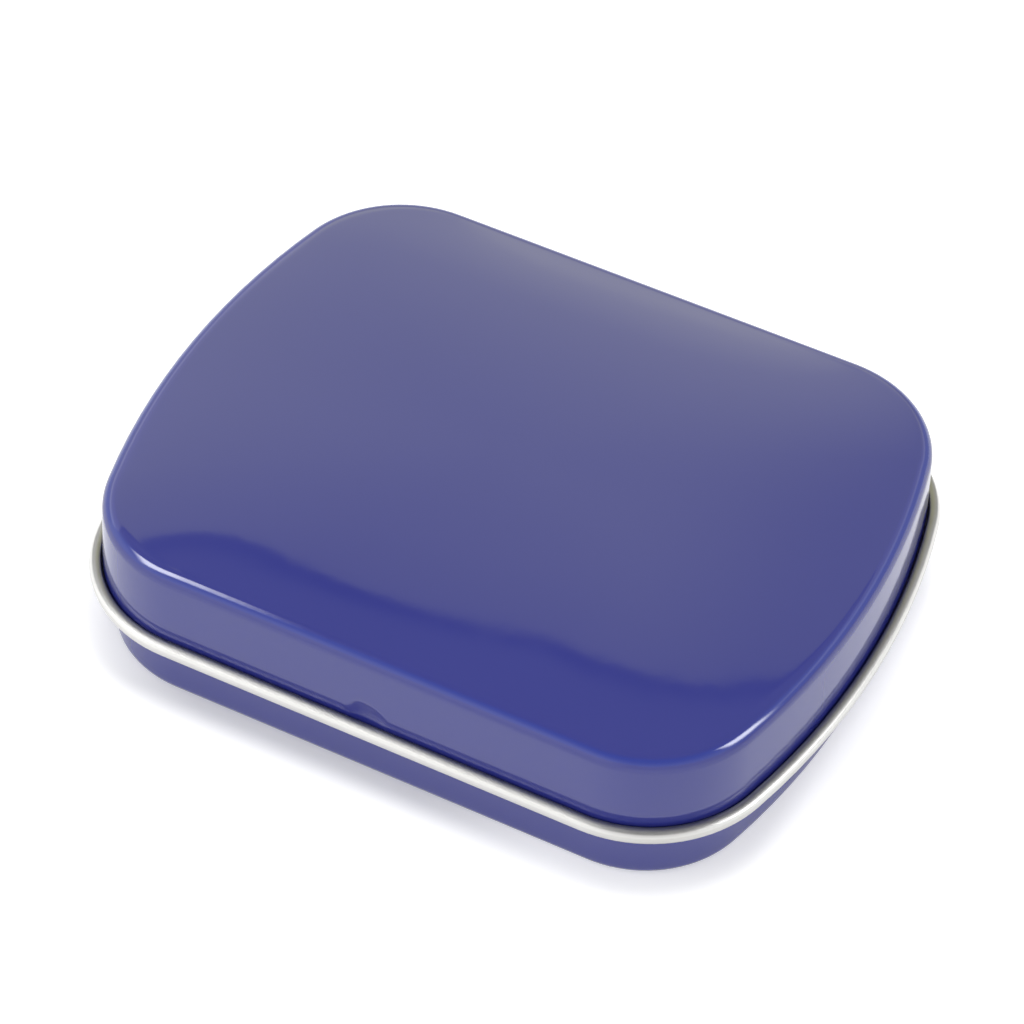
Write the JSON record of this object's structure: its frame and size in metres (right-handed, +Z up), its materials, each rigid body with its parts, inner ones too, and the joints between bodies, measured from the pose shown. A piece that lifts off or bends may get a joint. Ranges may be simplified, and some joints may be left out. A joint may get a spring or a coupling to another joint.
{
  "type": "hinged mint tin",
  "caption": "Shallow pocket tin with rounded corners and bowed ends: a crowned lid with a bright rolled bead, hinged at the back on a nesting pan.",
  "frame": {"origin": "middle of the tin's plan, on the surface that it stands on", "axes": "+X along the long side to the right, +Y towards the hinge at the back, +Z up through the lid"},
  "size_m": [0.062, 0.0503, 0.0151],
  "materials": {
    "printed_lacquer": "glossy royal blue print under clear lacquer",
    "bare_tinplate": "bright bare tinplate"
  },
  "bodies": {
    "base": {"base_pan": "printed_lacquer", "base_rim": "bare_tinplate", "hinge_knuckle_left": "bare_tinplate", "hinge_knuckle_right": "bare_tinplate"},
    "lid": {"lid_shell": "printed_lacquer", "lid_bead": "bare_tinplate"}
  },
  "joints": [
    {"name": "lid_hinge", "type": "hinge", "parent": "base", "child": "lid", "pos_m": [0, 0.02435, 0.0063], "axis": [-1, 0, 0], "range_deg": [0, 110]}
  ]
}
